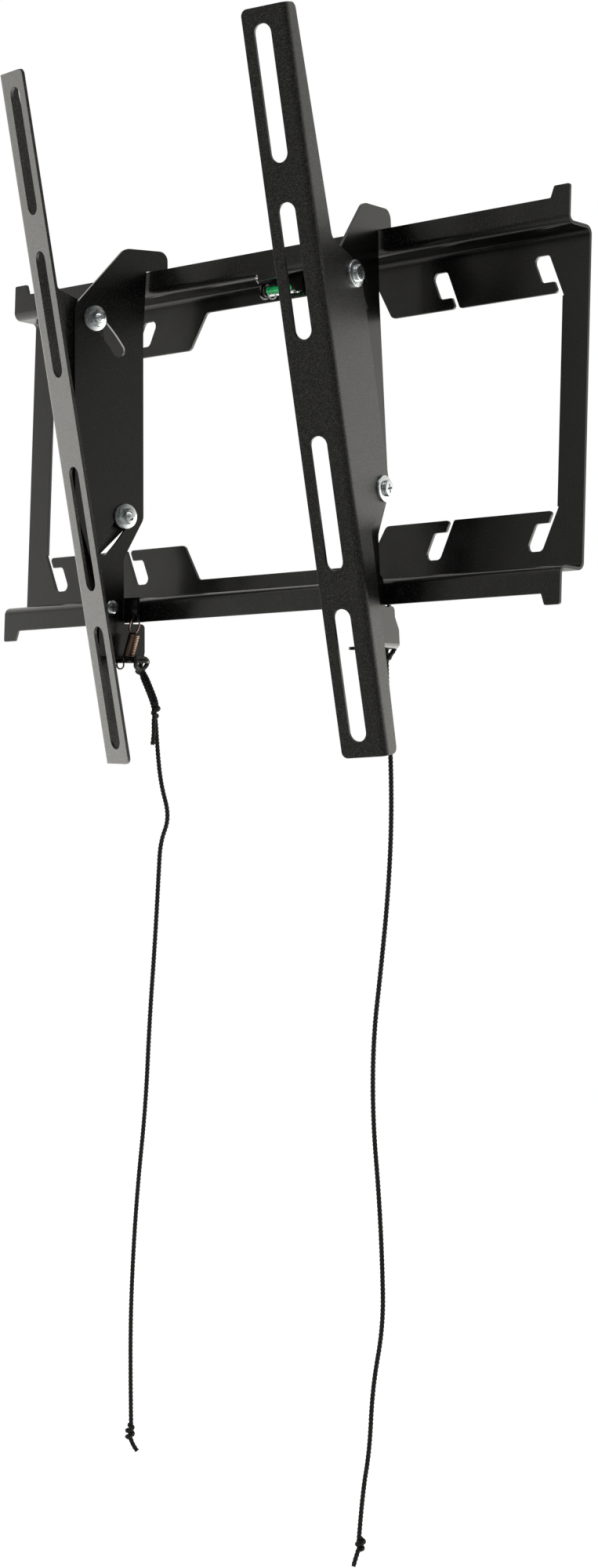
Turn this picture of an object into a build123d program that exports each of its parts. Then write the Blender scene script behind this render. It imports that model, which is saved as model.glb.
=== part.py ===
from build123d import *
from math import atan2, degrees, hypot, pi, radians, tan
import os

os.makedirs("parts", exist_ok=True)

# Sheet metal
sheet = 2.0
bend = 4.0
slip = 0.1

# Wall plate, seen from the front
plate_width = 472.0
stand_off = 21.0
rail_height = 222.6
ledge_height = 195.0
lug_height = 6.6
lug_tip = 10.3
lug_foot = 13.5
lug_round = 1.2
strap_width = 18.8
strip_height = 13.0
tab_height = 35.5
tab_reach = 72.5
tab_slant = 14.0
tab_corner = 1.8
key_pitch = 77.2
key_width = 12.4
key_floor_drop = 28.8
key_roof_drop = 12.9
key_slit = 3.2
key_lean = 0.46
key_round = 3.5
key_step_round = 0.8

# Spirit level in the top rail
window_width = 50.0
window_drop = 10.5
window_round = 5.0
vial_diameter = 8.0
vial_length = 26.0
vial_wall = 1.2
vial_drop = 7.9
vial_depth = 8.0
vial_round = 1.0
cheek_inset = 3.0
bubble_length = 6.5

# Pose of the hanging arms
left_hook_x = -106.4
right_hook_x = 91.3
splay = 12.56
lean = 2.73
rake = 3.7
tilt = 10.0
tilt_range = 15.0
tilt_slack = 0.3

# Arm
arm_length = 430.7
arm_rise = 1.2
arm_face = 30.0
arm_end_depth = 11.0
arm_waist_depth = 17.5
arm_ear_depth = 45.5
ear_shoulder = 66.5
ear_slope = 17.5
ear_round = 7.0
root_round = 6.0
arm_corner = 4.0
vesa_slot_width = 11.25
vesa_slot_length = 78.0
vesa_slot_inset = 17.4
vesa_slot_margin = 9.35
vesa_slot_pitch = 100.3

# Tilt joint: the axis floats in front of the arm's face
axis_ahead = 35.5
axis_depth = -102.4
axis_drop = -106.2
bolt_back = 38.0
bolt_margin = 4.0
bolt_diameter = 6.0
bolt_reach = 16.5
head_diameter = 10.4
head_height = 3.4
crown_share = 0.6
recess_width = 1.3
recess_length = 5.4
recess_depth = 1.8
washer_diameter = 16.0
washer_thickness = 1.6
washer_bore = 6.4
nut_flats = 10.0
nut_height = 5.0
tilt_slot_width = 9.0
bush_fit = 0.15

# Hook plate, measured back and up from the top rail's edge
plate_gap = 2.6
hook_top = 13.5
prong_back = 12.4
prong_front = 3.4
prong_drop = 9.0
notch_front = -3.2
notch_rest = 0.3
peak_front = -19.0
hook_front = -55.0
front_top = -24.5
front_bottom = -150.0
hook_rear = -5.6
rear_top = -40.0
rear_bottom = -156.5
waist_rear = -20.0
waist_top = -181.5
neck_bottom = -200.0
tail_top = -222.8
tail_bottom = -243.2
tail_rear = -4.8
tail_front = -38.0
ear_top = -206.5
ear_bottom = -221.7
ear_reach = 17.4
prong_round = 6.0
prong_tip = 2.0
notch_round = 1.0
rear_round = 20.0
waist_round = 8.0
tail_round = 2.6
neck_round = 15.0
front_round = 20.0
brow_round = 8.0
peak_round = 9.0

# Latch lever, its pivot and its spring
lever_sheet = 1.6
lever_gap = 0.2
pivot_back = -29.3
pivot_up = -212.4
pivot_diameter = 5.0
pivot_head = 8.8
pivot_head_height = 2.8
pivot_recess = 4.4
lever_top = -204.9
lever_front = -36.5
lever_notch_front = -18.8
lever_notch_floor = -223.6
catch_front = -14.0
catch_peak = -220.2
catch_tip = 0.9
lever_rear = -3.8
lever_heel = -236.5
lever_round = 5.0
tab_level = -246.8
tab_front = -30.0
tab_reach_in = 18.0
tab_slant_in = 4.5
tab_slant_back = -12.0
tab_round = 3.0
spring_diameter = 7.2
spring_wire = 1.1
ring_radius = 2.8
ring_shank = 5.2
coil_pack = 0.94
spring_ear_in = 12.4
spring_ear_up = -218.6
spring_tab_in = 8.4
spring_tab_back = -24.5
spring_hole = 2.4
cord_hole_in = 3.4
cord_hole_back = -9.0
cord_hole = 4.4

# Pull cords
cord_diameter = 3.0
arc_share = 0.45
left_cord_route = [
    (-113.0, -11.4, -134.2), (-113.6, -11.4, -142.1), (-106.3, -11.5, -152.9), (-98.2, -11.7, -166.5),
    (-94.6, -12.2, -190.9), (-90.0, -12.7, -213.1), (-80.4, -13.2, -233.9), (-87.8, -13.6, -249.5),
    (-88.0, -14.0, -268.2), (-88.6, -14.8, -311.3), (-90.7, -15.5, -360.2), (-91.4, -15.9, -413.9),
    (-97.1, -15.7, -467.8), (-100.3, -15.0, -521.6), (-100.9, -13.9, -570.3), (-98.7, -12.8, -619.6),
]
right_cord_route = [
    (97.9, -11.4, -134.2), (98.4, -11.5, -146.4), (100.1, -11.6, -164.9), (104.3, -12.0, -198.2),
    (107.5, -13.2, -238.5), (107.2, -14.2, -279.6), (103.6, -14.7, -323.0), (98.6, -14.4, -364.1),
    (99.2, -13.7, -409.6), (105.4, -13.2, -454.5), (109.0, -12.8, -492.6), (111.1, -12.6, -528.4),
    (103.6, -12.4, -565.2), (102.6, -12.3, -601.4), (97.6, -12.1, -626.8), (95.4, -11.7, -655.0),
]

# Values that follow from the sizes above
half_width = plate_width / 2
rail_edge = rail_height / 2
flange_depth = sheet / 2 - stand_off
ledge_level = ledge_height / 2 - sheet / 2
strap_inner = half_width - strap_width
rail_z = ledge_height / 2 - strip_height
tab_z = ledge_height / 2 - tab_height
key_roof = ledge_height / 2 - key_roof_drop
key_floor = ledge_height / 2 - key_floor_drop
window_floor = ledge_height / 2 - window_drop
vial_height = ledge_height / 2 - vial_drop
ear_root = ear_shoulder + ear_slope
bolt_rise = ear_shoulder - bolt_margin
arm_top = arm_rise + arm_length / 2
arm_foot = arm_rise - arm_length / 2
outer_row = arm_length / 2 - vesa_slot_margin - vesa_slot_length / 2
inner_row = outer_row - vesa_slot_pitch
plate_inset = sheet + plate_gap + sheet / 2
tilt_radius = hypot(axis_ahead + bolt_back, bolt_rise)
bolt_angle = degrees(atan2(bolt_rise, axis_ahead + bolt_back))
bush_diameter = tilt_slot_width - 2 * bush_fit
cord_routes = {"left": left_cord_route, "right": right_cord_route}


def rounded_outline(points, radii):
    """Closed face through the points with its own rounding at each corner."""
    with BuildSketch() as outline:
        with BuildLine():
            FilletPolyline(*points, radius=radii, close=True)
        make_face()
    return outline.sketch


def pan_screw(seat, points, head_way, head, shank_diameter, shank_length, recess):
    """Pan heads standing off a seat plane, shanks the other way, cross recess in each crown."""
    diameter, height = head
    length, width, depth = recess
    with BuildPart(mode=Mode.PRIVATE) as screws:
        with BuildSketch(seat):
            with Locations(*points):
                Circle(diameter / 2)
        extrude(amount=head_way * height)
        crown = seat.offset(head_way * height)
        rims = screws.edges().filter_by(GeomType.CIRCLE)
        crown_rims = [rim for rim in rims if abs(crown.to_local_coords(rim.center()).Z) < slip]
        fillet(crown_rims, radius=height * crown_share)
        with BuildSketch(seat):
            with Locations(*points):
                Circle(shank_diameter / 2)
        extrude(amount=-head_way * shank_length)
        with BuildSketch(crown):
            with Locations(*points):
                Rectangle(length, width)
                Rectangle(width, length)
        extrude(amount=-head_way * depth, mode=Mode.SUBTRACT)
    return screws.part


def bent_rod(points, diameter, radii):
    """Round rod along straight runs with a tangent arc at each corner."""
    with BuildPart(mode=Mode.PRIVATE) as rod:
        with BuildLine() as path:
            if radii:
                FilletPolyline(*points, radius=radii)
            else:
                Line(*points)
        run = path.wire()
        with BuildSketch(Plane(run @ 0, z_dir=run % 0)):
            Circle(diameter / 2)
        sweep(path=run)
    section = pi * diameter**2 / 4
    print("rod length", round(run.length, 1), "volume ratio", round(rod.part.volume / (section * run.length), 4))
    return rod.part


def cord_radii(route):
    """Largest tangent arc that the two runs at each corner leave room for."""
    points = [Vector(*place) for place in route]
    radii = []
    for before, here, after in zip(points, points[1:], points[2:]):
        turn = (here - before).get_angle(after - here)
        shorter = min((here - before).length, (after - here).length)
        radii.append(arc_share * shorter / tan(radians(turn) / 2))
    return radii


def save(builder, name):
    builder.part.label = name
    export_step(builder.part, f"parts/{name}.step")


# Wall plate: a bent section along the wall, trimmed and pierced from the front
lug_level = rail_edge + lug_height
with BuildPart() as wall_plate:
    with BuildSketch(Plane.YZ):
        with BuildLine():
            FilletPolyline(
                (flange_depth, -lug_level), (flange_depth, -ledge_level), (-sheet / 2, -ledge_level),
                (-sheet / 2, ledge_level), (flange_depth, ledge_level), (flange_depth, lug_level),
                radius=bend,
            )
        trace(line_width=sheet)
    extrude(amount=half_width, both=True)

    # Edges between the corner lugs
    edge_x = half_width - lug_foot
    tip_x = half_width - lug_tip
    with BuildSketch(Plane.XZ.offset(2 * stand_off)):
        for end in (1, -1):
            with BuildLine():
                FilletPolyline(
                    (-edge_x, end * rail_edge), (edge_x, end * rail_edge),
                    (tip_x, end * (lug_level + sheet)), (-tip_x, end * (lug_level + sheet)),
                    radius=sheet / 2, close=True,
                )
            make_face()
    extrude(amount=-3 * stand_off, mode=Mode.SUBTRACT)

    # Central opening with slanted tab sides
    slit_mouths = []
    with BuildSketch(Plane.XZ.offset(2 * stand_off)) as opening:
        with BuildLine():
            FilletPolyline(
                (-tab_reach, rail_z), (tab_reach, rail_z), (tab_reach + tab_slant, tab_z), (strap_inner, tab_z),
                (strap_inner, -tab_z), (tab_reach + tab_slant, -tab_z), (tab_reach, -rail_z),
                (-tab_reach, -rail_z), (-tab_reach - tab_slant, -tab_z), (-strap_inner, -tab_z),
                (-strap_inner, tab_z), (-tab_reach - tab_slant, tab_z),
                radius=[bend, bend, bend, 0, 0, bend, bend, bend, bend, 0, 0, bend], close=True,
            )
        make_face()
        # Key slots: a slanted pocket that opens through a narrow slit
        for across in (1, -1):
            for up in (1, -1):
                for mouth_x in (strap_inner, strap_inner - key_pitch):
                    roof_x = mouth_x - key_lean * (key_roof - tab_z)
                    floor_x = mouth_x - key_lean * (key_floor - tab_z)
                    below_x = mouth_x + key_lean * sheet
                    corners = [
                        (roof_x - key_width, key_roof), (roof_x, key_roof), (below_x, tab_z - sheet),
                        (below_x - key_slit, tab_z - sheet), (floor_x - key_slit, key_floor),
                        (floor_x - key_width, key_floor),
                    ]
                    with BuildLine():
                        FilletPolyline(
                            *[(across * x, up * z) for x, z in corners],
                            radius=[key_round, key_round, 0, 0, key_step_round, key_round], close=True,
                        )
                    make_face()
                    slit_mouths.append((across * (mouth_x - key_slit), up * tab_z))
            slit_mouths += [(across * (strap_inner - key_pitch), up * tab_z) for up in (1, -1)]
        corners = [opening.vertices().sort_by_distance((x, z, 0))[0] for x, z in slit_mouths]
        fillet(corners, radius=tab_corner)
    extrude(amount=-3 * stand_off, mode=Mode.SUBTRACT)

    # Window for the spirit level, through the ledge and the strip below it
    window_back = stand_off - 2 * sheet
    window_half = window_width / 2
    window_roof = ledge_height / 2 + sheet
    with BuildSketch(Plane.XZ.offset(-sheet)):
        with BuildLine():
            FilletPolyline(
                (-window_half, window_roof), (window_half, window_roof), (window_half, window_floor),
                (-window_half, window_floor), radius=[0, 0, window_round, window_round], close=True,
            )
        make_face()
    extrude(amount=window_back + sheet, mode=Mode.SUBTRACT)

    # Rounded lug tips
    tips = wall_plate.edges().filter_by(Axis.Y).group_by(Axis.Z)
    fillet(tips[0] + tips[-1], radius=lug_round)
save(wall_plate, "wall_plate")

# Spirit level: holder clipped into the window, vial under it and fluid inside
vial_plane = Plane.YZ.offset(-vial_length / 2)
vial_centre = (-vial_depth, vial_height)
vial_front = -vial_depth - vial_diameter / 2
holder_half = window_width / 2 - slip
holder_top = ledge_height / 2
with BuildPart() as level_holder:
    with BuildSketch(Plane.YZ):
        with BuildLine():
            Polyline(
                (-slip, window_floor + slip), (-slip, holder_top), (-window_back + slip, holder_top),
                (-window_back + slip, ledge_level - sheet / 2), (vial_front, vial_height + sheet),
                (vial_front, vial_height), (-sheet, vial_height),
                (-sheet, window_floor + slip), close=True,
            )
        make_face()
    extrude(amount=holder_half, both=True)
    with BuildSketch(Plane.YZ):
        with Locations(vial_centre):
            Circle(vial_diameter / 2 + slip)
    extrude(amount=holder_half, both=True, mode=Mode.SUBTRACT)
    # Pocket above the vial, between the cheeks that grip its ends
    with BuildSketch(Plane.XZ.offset(2 * sheet)):
        with BuildLine():
            cheek = vial_length / 2 - cheek_inset
            FilletPolyline(
                (-cheek, vial_height), (cheek, vial_height), (cheek + vial_drop, holder_top + sheet),
                (-cheek - vial_drop, holder_top + sheet), radius=sheet / 2, close=True,
            )
        make_face()
    extrude(amount=stand_off, mode=Mode.SUBTRACT)
    with BuildSketch(Plane.XZ.offset(-sheet)):
        with BuildLine():
            FilletPolyline(
                (-holder_half, window_roof), (holder_half, window_roof), (holder_half, window_floor + slip),
                (-holder_half, window_floor + slip), radius=[0, 0, window_round, window_round], close=True,
            )
        make_face()
    extrude(amount=stand_off + sheet, mode=Mode.INTERSECT)
save(level_holder, "level_holder")

cavity_diameter = vial_diameter - 2 * vial_wall
cavity_length = vial_length - 4 * vial_wall
with BuildPart() as level_vial:
    with BuildSketch(vial_plane):
        with Locations(vial_centre):
            Circle(vial_diameter / 2)
    extrude(amount=vial_length)
    fillet(level_vial.edges().filter_by(GeomType.CIRCLE), radius=vial_round)
    with BuildSketch(vial_plane.offset(2 * vial_wall)):
        with Locations(vial_centre):
            Circle(cavity_diameter / 2)
    extrude(amount=cavity_length, mode=Mode.SUBTRACT)
save(level_vial, "level_vial")

bubble_radius = cavity_diameter / 4
with BuildPart() as level_fluid:
    with BuildSketch(vial_plane.offset(2 * vial_wall + slip)):
        with Locations(vial_centre):
            Circle(cavity_diameter / 2 - slip)
    extrude(amount=cavity_length - 2 * slip)
    with BuildSketch(Plane.XZ.offset(vial_depth)):
        with Locations((0, vial_height + cavity_diameter / 2 - bubble_radius)):
            SlotOverall(bubble_length, 2 * bubble_radius)
    extrude(amount=bubble_radius, both=True, mode=Mode.SUBTRACT)
save(level_fluid, "level_fluid")

# Left and right arms, built in the frame of the hook plate that carries each
for side, inward, hook_x in (("left", 1, left_hook_x), ("right", -1, right_hook_x)):
    rail_point = Pos(hook_x, flange_depth, rail_edge)
    hook_frame = rail_point * Rot(0, 0, -inward * splay) * Rot(0, inward * lean, 0) * Rot(rake, 0, 0)
    arm_frame = (
        hook_frame * Pos(-inward * plate_inset, axis_depth, axis_drop) * Rot(tilt, 0, 0) * Pos(0, axis_ahead, 0)
    )
    hook_side = Plane(hook_frame * Plane.YZ.location)
    hook_level = Plane(hook_frame)
    arm_side = Plane(arm_frame * Plane.YZ.location)
    arm_level = Plane(arm_frame)
    arm_front = Plane(arm_frame * Plane.XZ.location)

    # Hook plate: flat outline, a bent ear, two tilt slots and three holes
    with BuildPart() as hook_plate:
        with BuildSketch(hook_side):
            outline = [
                (prong_back, hook_top), (prong_back, -prong_drop), (prong_front, -prong_drop),
                (prong_front, notch_rest), (notch_front, notch_rest), (hook_rear, rear_top),
                (hook_rear, rear_bottom), (waist_rear, waist_top), (waist_rear, tail_top), (tail_rear, tail_top),
                (tail_rear, tail_bottom), (tail_front, tail_bottom), (tail_front, neck_bottom),
                (hook_front, front_bottom), (hook_front, front_top), (peak_front, hook_top),
            ]
            rounds = [
                prong_round, prong_tip, prong_tip, notch_round, notch_round, rear_round, waist_round,
                waist_round, notch_round, tail_round, tail_round, tail_round, neck_round, front_round,
                brow_round, peak_round,
            ]
            add(rounded_outline(outline, rounds))
            for turn in (bolt_angle, -bolt_angle):
                start = turn + tilt + tilt_slack
                with BuildLine(mode=Mode.PRIVATE) as slot_line:
                    CenterArc((axis_depth, axis_drop), tilt_radius, start, -tilt_range - 2 * tilt_slack)
                SlotArc(slot_line.edge(), tilt_slot_width, mode=Mode.SUBTRACT)
            with Locations((pivot_back, pivot_up)):
                Circle(pivot_diameter / 2 + slip, mode=Mode.SUBTRACT)
        extrude(amount=sheet / 2, both=True)
        with BuildSketch(hook_level.offset(ear_bottom)):
            with BuildLine():
                FilletPolyline(
                    (0, waist_rear - 2 * sheet), (0, waist_rear + sheet / 2),
                    (inward * ear_reach, waist_rear + sheet / 2), radius=sheet,
                )
            trace(line_width=sheet)
        extrude(amount=ear_top - ear_bottom)
        with BuildSketch(Plane(hook_frame * Plane.XZ.location).offset(-waist_rear + sheet)):
            with Locations((inward * spring_ear_in, spring_ear_up)):
                Circle(spring_hole / 2)
        extrude(amount=-3 * sheet, mode=Mode.SUBTRACT)
    save(hook_plate, f"{side}_hook_plate")

    # Arm: L-section, trimmed from the side, slotted from the front
    with BuildPart() as arm:
        with BuildSketch(arm_level.offset(arm_foot)):
            with BuildLine():
                FilletPolyline(
                    (inward * arm_face, sheet / 2), (inward * sheet / 2, sheet / 2),
                    (inward * sheet / 2, arm_ear_depth), radius=bend - sheet / 2,
                )
            trace(line_width=sheet)
        extrude(amount=arm_length)
        with BuildSketch(arm_side.offset(-2 * arm_face)):
            profile = [
                (-sheet, arm_top), (arm_end_depth, arm_top), (arm_waist_depth, ear_root),
                (arm_ear_depth, ear_shoulder), (arm_ear_depth, -ear_shoulder), (arm_waist_depth, -ear_root),
                (arm_end_depth, arm_foot), (-sheet, arm_foot),
            ]
            rounds = [0, arm_corner, root_round, ear_round, ear_round, root_round, arm_corner, 0]
            add(rounded_outline(profile, rounds))
        extrude(amount=4 * arm_face, mode=Mode.INTERSECT)
        with BuildSketch(arm_side.offset(-2 * arm_face)):
            with Locations((bolt_back, bolt_rise), (bolt_back, -bolt_rise)):
                Circle(washer_bore / 2)
        extrude(amount=4 * arm_face, mode=Mode.SUBTRACT)
        with BuildSketch(arm_front.offset(sheet)):
            for row in (outer_row, inner_row, -inner_row, -outer_row):
                with Locations((inward * vesa_slot_inset, arm_rise + row)):
                    SlotOverall(vesa_slot_length, vesa_slot_width, rotation=90)
        extrude(amount=-3 * sheet, mode=Mode.SUBTRACT)
        free_edge = arm_frame * Pos(inward * arm_face, sheet / 2, 0)
        corners = arm.edges().sort_by_distance(free_edge * Pos(0, 0, arm_top) * Vertex())[:1]
        corners += arm.edges().sort_by_distance(free_edge * Pos(0, 0, arm_foot) * Vertex())[:1]
        fillet(corners, radius=arm_corner)
    save(arm, f"{side}_arm")

    # Tilt hardware, stacked along the bolts from the outer side inwards
    bolt_points = [(bolt_back, bolt_rise), (bolt_back, -bolt_rise)]
    head_seat = -washer_thickness
    plate_outer = sheet + plate_gap
    plate_inner = plate_outer + sheet
    nut_seat = plate_inner + slip + washer_thickness

    def arm_plane(depth):
        """Plane across the bolts, at a depth inwards from the arm's outer side."""
        return arm_side.offset(inward * depth)

    with BuildPart() as tilt_bolts:
        add(pan_screw(
            arm_plane(head_seat), bolt_points, -inward, (head_diameter, head_height), bolt_diameter,
            bolt_reach - head_seat, (recess_length, recess_width, recess_depth),
        ))
    save(tilt_bolts, f"{side}_tilt_bolts")

    with BuildPart() as tilt_washers:
        for seat in (head_seat, nut_seat - washer_thickness):
            with BuildSketch(arm_plane(seat)):
                with Locations(*bolt_points):
                    Circle(washer_diameter / 2)
                    Circle(washer_bore / 2, mode=Mode.SUBTRACT)
            extrude(amount=inward * washer_thickness)
    save(tilt_washers, f"{side}_tilt_washers")

    with BuildPart() as tilt_bushes:
        with BuildSketch(arm_plane(sheet)):
            with Locations(*bolt_points):
                Circle(washer_diameter / 2)
                Circle(washer_bore / 2, mode=Mode.SUBTRACT)
        extrude(amount=inward * (plate_gap - slip))
        with BuildSketch(arm_plane(plate_outer - slip)):
            with Locations(*bolt_points):
                Circle(bush_diameter / 2)
                Circle(washer_bore / 2, mode=Mode.SUBTRACT)
        extrude(amount=inward * sheet)
    save(tilt_bushes, f"{side}_tilt_bushes")

    with BuildPart() as tilt_nuts:
        with BuildSketch(arm_plane(nut_seat)):
            with Locations(*bolt_points):
                RegularPolygon(nut_flats / 2, 6, major_radius=False)
                Circle(bolt_diameter / 2 + slip, mode=Mode.SUBTRACT)
        extrude(amount=inward * nut_height)
    save(tilt_nuts, f"{side}_tilt_nuts")

    # Latch lever: flat catch on the outer side of the hook plate, with a tab bent inwards below its tail
    lever_middle = -inward * (sheet / 2 + lever_gap + lever_sheet / 2)
    lever_side = hook_side.offset(lever_middle)
    tab_root = tab_level + 4 * lever_sheet
    tab_plane = Plane(hook_frame * Pos(0, tab_front, 0) * Plane.XZ.location)
    with BuildPart() as latch_lever:
        with BuildSketch(lever_side):
            outline = [
                (lever_front, lever_top), (pivot_back + pivot_head, lever_top), (lever_notch_front, pivot_up),
                (lever_notch_front, lever_notch_floor), (catch_front, lever_notch_floor),
                (catch_front, catch_peak), (catch_front + catch_tip, catch_peak), (lever_rear, lever_heel),
                (lever_rear, tab_root), (tab_front, tab_root), (lever_front, lever_notch_floor),
            ]
            rounds = [
                lever_round, lever_round, lever_round, notch_round, notch_round, catch_tip / 3, catch_tip / 3,
                tab_round, 0, 0, lever_round,
            ]
            add(rounded_outline(outline, rounds))
            with Locations((pivot_back, pivot_up)):
                Circle(pivot_diameter / 2 + slip, mode=Mode.SUBTRACT)
        extrude(amount=lever_sheet / 2, both=True)
        with BuildSketch(tab_plane):
            with BuildLine():
                FilletPolyline(
                    (lever_middle, tab_root), (lever_middle, tab_level),
                    (inward * tab_reach_in, tab_level), radius=1.5 * lever_sheet,
                )
            trace(line_width=lever_sheet)
        extrude(amount=tab_front - lever_rear)
        tip = Plane(hook_frame).offset(tab_level)
        with BuildSketch(tip):
            with Locations((inward * spring_tab_in, spring_tab_back)):
                Circle(spring_hole / 2)
            with Locations((inward * cord_hole_in, cord_hole_back)):
                Circle(cord_hole / 2)
            with BuildLine():
                slant = [
                    (tab_slant_in, lever_rear), (tab_reach_in, tab_slant_back),
                    (2 * tab_reach_in, tab_slant_back), (2 * tab_reach_in, -lever_rear),
                    (tab_slant_in, -lever_rear),
                ]
                Polyline(*[(inward * across, back) for across, back in slant], close=True)
            make_face()
        extrude(amount=2 * lever_sheet, both=True, mode=Mode.SUBTRACT)
        tips = [(tab_reach_in, tab_front), (tab_reach_in, tab_slant_back), (tab_slant_in, lever_rear)]
        for across, back in tips:
            corner = hook_frame * Pos(inward * across, back, tab_level) * Vertex()
            fillet(latch_lever.edges().sort_by_distance(corner)[:1], radius=tab_round)
    save(latch_lever, f"{side}_latch_lever")

    # Latch pivot: pan head on the inner side, shank formed over on the lever
    with BuildPart() as latch_pivot:
        add(pan_screw(
            hook_side.offset(inward * sheet / 2), [(pivot_back, pivot_up)], inward,
            (pivot_head, pivot_head_height), pivot_diameter, sheet + lever_sheet + 2 * lever_gap,
            (pivot_recess, recess_width, recess_depth),
        ))
    save(latch_pivot, f"{side}_latch_pivot")

    # Latch spring: ring through the ear, close coils, hook through the tab
    ear_point = Vector(inward * spring_ear_in, waist_rear + sheet / 2, spring_ear_up)
    tab_point = Vector(inward * spring_tab_in, spring_tab_back, tab_level)
    pull = (tab_point - ear_point).normalized()
    coil_radius = (spring_diameter - spring_wire) / 2
    ring_foot = ear_point + pull * 2 * ring_radius
    coil_top = ring_foot + pull * ring_shank
    coil_bottom = tab_point - pull * (lever_sheet + coil_radius)
    coil_length = (coil_bottom - coil_top).length
    coil_plane = Plane(hook_frame * Plane(coil_top, x_dir=(1, 0, 0), z_dir=pull).location)
    ring_centre = ear_point + pull * ring_radius
    ring_plane = Plane(hook_frame * Plane(ring_centre, x_dir=pull, z_dir=(1, 0, 0)).location)
    hook_floor = tab_point - Vector(0, 0, lever_sheet + spring_wire)
    hook_turn = hook_floor - Vector(0, 2 * spring_wire, 0)
    hook_tip = hook_turn + Vector(0, 0, spring_wire)
    hook_points = [coil_bottom, tab_point, hook_floor, hook_turn, hook_tip]
    hook_bend = coil_pack * spring_wire
    hook_bends = [spring_diameter, hook_bend, hook_bend]
    coil_count = int(coil_length / (coil_pack * spring_wire))
    coil_section = Plane(coil_plane.origin, x_dir=coil_plane.x_dir, z_dir=-coil_plane.y_dir)
    with BuildPart() as latch_spring:
        with BuildSketch(coil_section):
            with Locations(*[(coil_radius, coil_length * turn / coil_count) for turn in range(coil_count + 1)]):
                Circle(spring_wire / 2)
        revolve(axis=Axis(coil_plane.origin, coil_plane.z_dir))
        with Locations(ring_plane.location):
            Torus(ring_radius, spring_wire / 2)
        for centre in (coil_top, coil_bottom):
            span = Vector(coil_radius, 0, 0)
            add(bent_rod([(hook_frame * Pos(centre + way)).position for way in (span, -span)], spring_wire, []))
        add(bent_rod([(hook_frame * Pos(point)).position for point in (ring_foot, coil_top)], spring_wire, []))
        add(bent_rod([(hook_frame * Pos(point)).position for point in hook_points], spring_wire, hook_bends))
    save(latch_spring, f"{side}_latch_spring")

    # Pull cord: a plain tube along its hanging route
    route = cord_routes[side]
    radii = cord_radii(route)
    with BuildPart() as cord:
        add(bent_rod(route, cord_diameter, radii))
    save(cord, f"{side}_cord")
    print(side, "cord bend radii", [round(radius) for radius in radii])
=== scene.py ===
import math

import bpy
from mathutils import Matrix, Vector


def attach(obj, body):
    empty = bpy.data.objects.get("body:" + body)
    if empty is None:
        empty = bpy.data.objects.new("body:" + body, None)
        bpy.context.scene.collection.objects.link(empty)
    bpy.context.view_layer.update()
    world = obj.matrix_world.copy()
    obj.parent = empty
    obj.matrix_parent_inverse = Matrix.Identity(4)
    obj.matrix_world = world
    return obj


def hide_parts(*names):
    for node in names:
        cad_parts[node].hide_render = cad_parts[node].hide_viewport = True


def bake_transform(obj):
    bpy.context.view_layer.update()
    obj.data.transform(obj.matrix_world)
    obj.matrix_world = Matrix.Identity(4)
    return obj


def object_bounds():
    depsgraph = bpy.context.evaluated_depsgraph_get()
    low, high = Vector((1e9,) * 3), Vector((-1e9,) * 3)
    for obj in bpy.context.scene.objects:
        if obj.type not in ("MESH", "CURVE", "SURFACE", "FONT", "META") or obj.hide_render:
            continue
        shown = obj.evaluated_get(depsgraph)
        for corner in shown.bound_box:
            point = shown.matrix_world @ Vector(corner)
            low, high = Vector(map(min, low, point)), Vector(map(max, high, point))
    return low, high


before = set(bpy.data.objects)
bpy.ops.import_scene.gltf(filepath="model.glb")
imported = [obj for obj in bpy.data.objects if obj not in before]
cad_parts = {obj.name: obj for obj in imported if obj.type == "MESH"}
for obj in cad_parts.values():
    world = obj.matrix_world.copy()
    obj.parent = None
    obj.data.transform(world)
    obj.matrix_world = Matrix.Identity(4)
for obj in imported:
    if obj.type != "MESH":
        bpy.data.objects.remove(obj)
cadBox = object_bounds()
print("frame loaded")

sides = ("left", "right")
inward = {"left": 1, "right": -1}


def pick(*pieces):
    bpy.ops.object.select_all(action="DESELECT")
    for piece in pieces:
        piece.select_set(True)
    bpy.context.view_layer.objects.active = pieces[0]


def editMesh(piece):
    pick(piece)
    bpy.ops.object.mode_set(mode="EDIT")
    bpy.ops.mesh.select_all(action="SELECT")


def objectMode():
    bpy.ops.object.mode_set(mode="OBJECT")


def modify(piece, kind, **settings):
    pick(piece)
    added = piece.modifiers.new(kind, kind)
    for key, value in settings.items():
        setattr(added, key, value)
    bpy.ops.object.modifier_apply(modifier=added.name)


def settle(piece, place):
    pick(piece)
    piece.matrix_world = place
    bpy.ops.object.transform_apply(location=True, rotation=True, scale=True)


def duplicate(piece, name):
    twin = piece.copy()
    twin.data = piece.data.copy()
    twin.name = name
    bpy.context.scene.collection.objects.link(twin)
    return twin


def join(name, *pieces):
    pick(*pieces)
    bpy.ops.object.join()
    pieces[0].name = name
    return pieces[0]


def smooth(piece, angle):
    pick(piece)
    bpy.ops.object.shade_smooth_by_angle(angle=math.radians(angle))


def wear(piece, material):
    piece.data.materials.clear()
    piece.data.materials.append(material)


def standing(origin, out, up):
    out = out.normalized()
    across = up.cross(out).normalized()
    turned = Matrix((across, out.cross(across), out)).transposed().to_4x4()
    return Matrix.Translation(origin) @ turned


# Pose of the two hanging arms, as in the CAD frame
pose = dict(
    hookX={"left": -0.1064, "right": 0.0913}, railDepth=-0.020, railTop=0.1113,
    splay=12.56, lean=2.73, rake=3.7, tilt=10.0,
    axisDepth=-0.1024, axisDrop=-0.1062, axisAhead=0.0355, plateInset=0.0056,
)


def turn(degrees, axis):
    return Matrix.Rotation(math.radians(degrees), 4, axis)


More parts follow.
